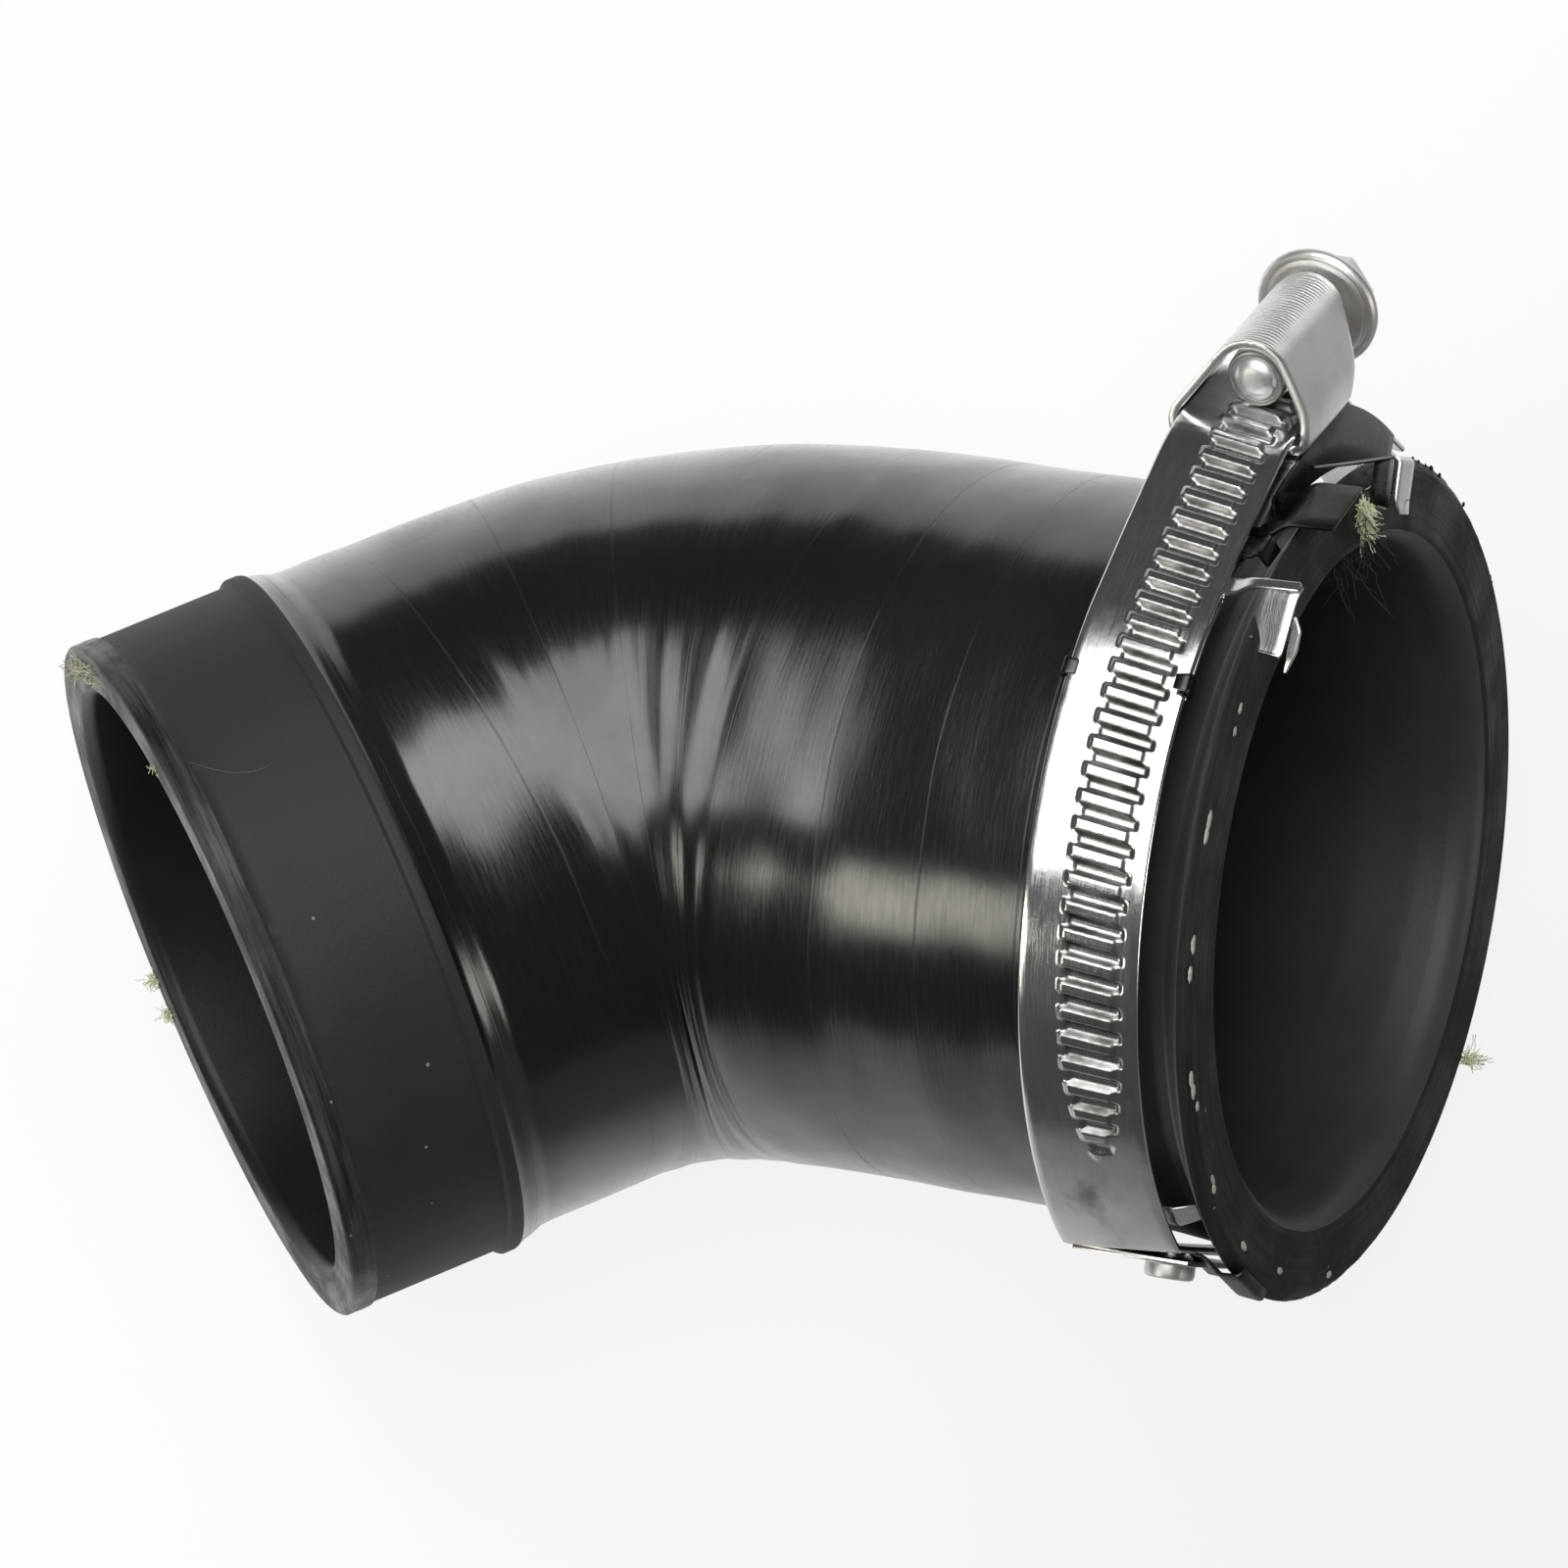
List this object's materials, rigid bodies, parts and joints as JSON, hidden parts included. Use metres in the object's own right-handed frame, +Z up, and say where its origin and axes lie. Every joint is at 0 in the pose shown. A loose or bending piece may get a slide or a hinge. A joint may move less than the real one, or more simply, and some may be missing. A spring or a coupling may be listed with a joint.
{
  "type": "turbo hose",
  "caption": "Moulded black rubber elbow hose for charge air, with a plain cuff, a flared mouth and a loose worm-drive clamp.",
  "frame": {"origin": "centre of the footprint, on the surface that the hose lies on", "axes": "+X out of the flared mouth along the floor, +Z up; the cuff leg points to -X and -Y"},
  "size_m": [0.1394, 0.1178, 0.0866],
  "materials": {
    "hose_rubber": "glossy wrapped body, matt ground cuff",
    "band_steel": "polished stainless strip",
    "housing_steel": "satin stainless sheet",
    "screw_steel": "satin plated steel",
    "retainer_steel": "bright thin sheet"
  },
  "bodies": {
    "root": {"hose": "hose_rubber", "clamp_band": "band_steel", "worm_housing": "housing_steel", "retainer_top": "retainer_steel", "retainer_bottom": "retainer_steel", "retainer_rivet": "screw_steel"},
    "screw": {"worm_screw": "screw_steel"}
  },
  "joints": [
    {"name": "worm_turn", "type": "hinge", "parent": "root", "child": "screw", "pos_m": [0.0482, 0.04107, 0.07363], "axis": [0.1229, 0.6874, -0.7158], "continuous": true}
  ]
}
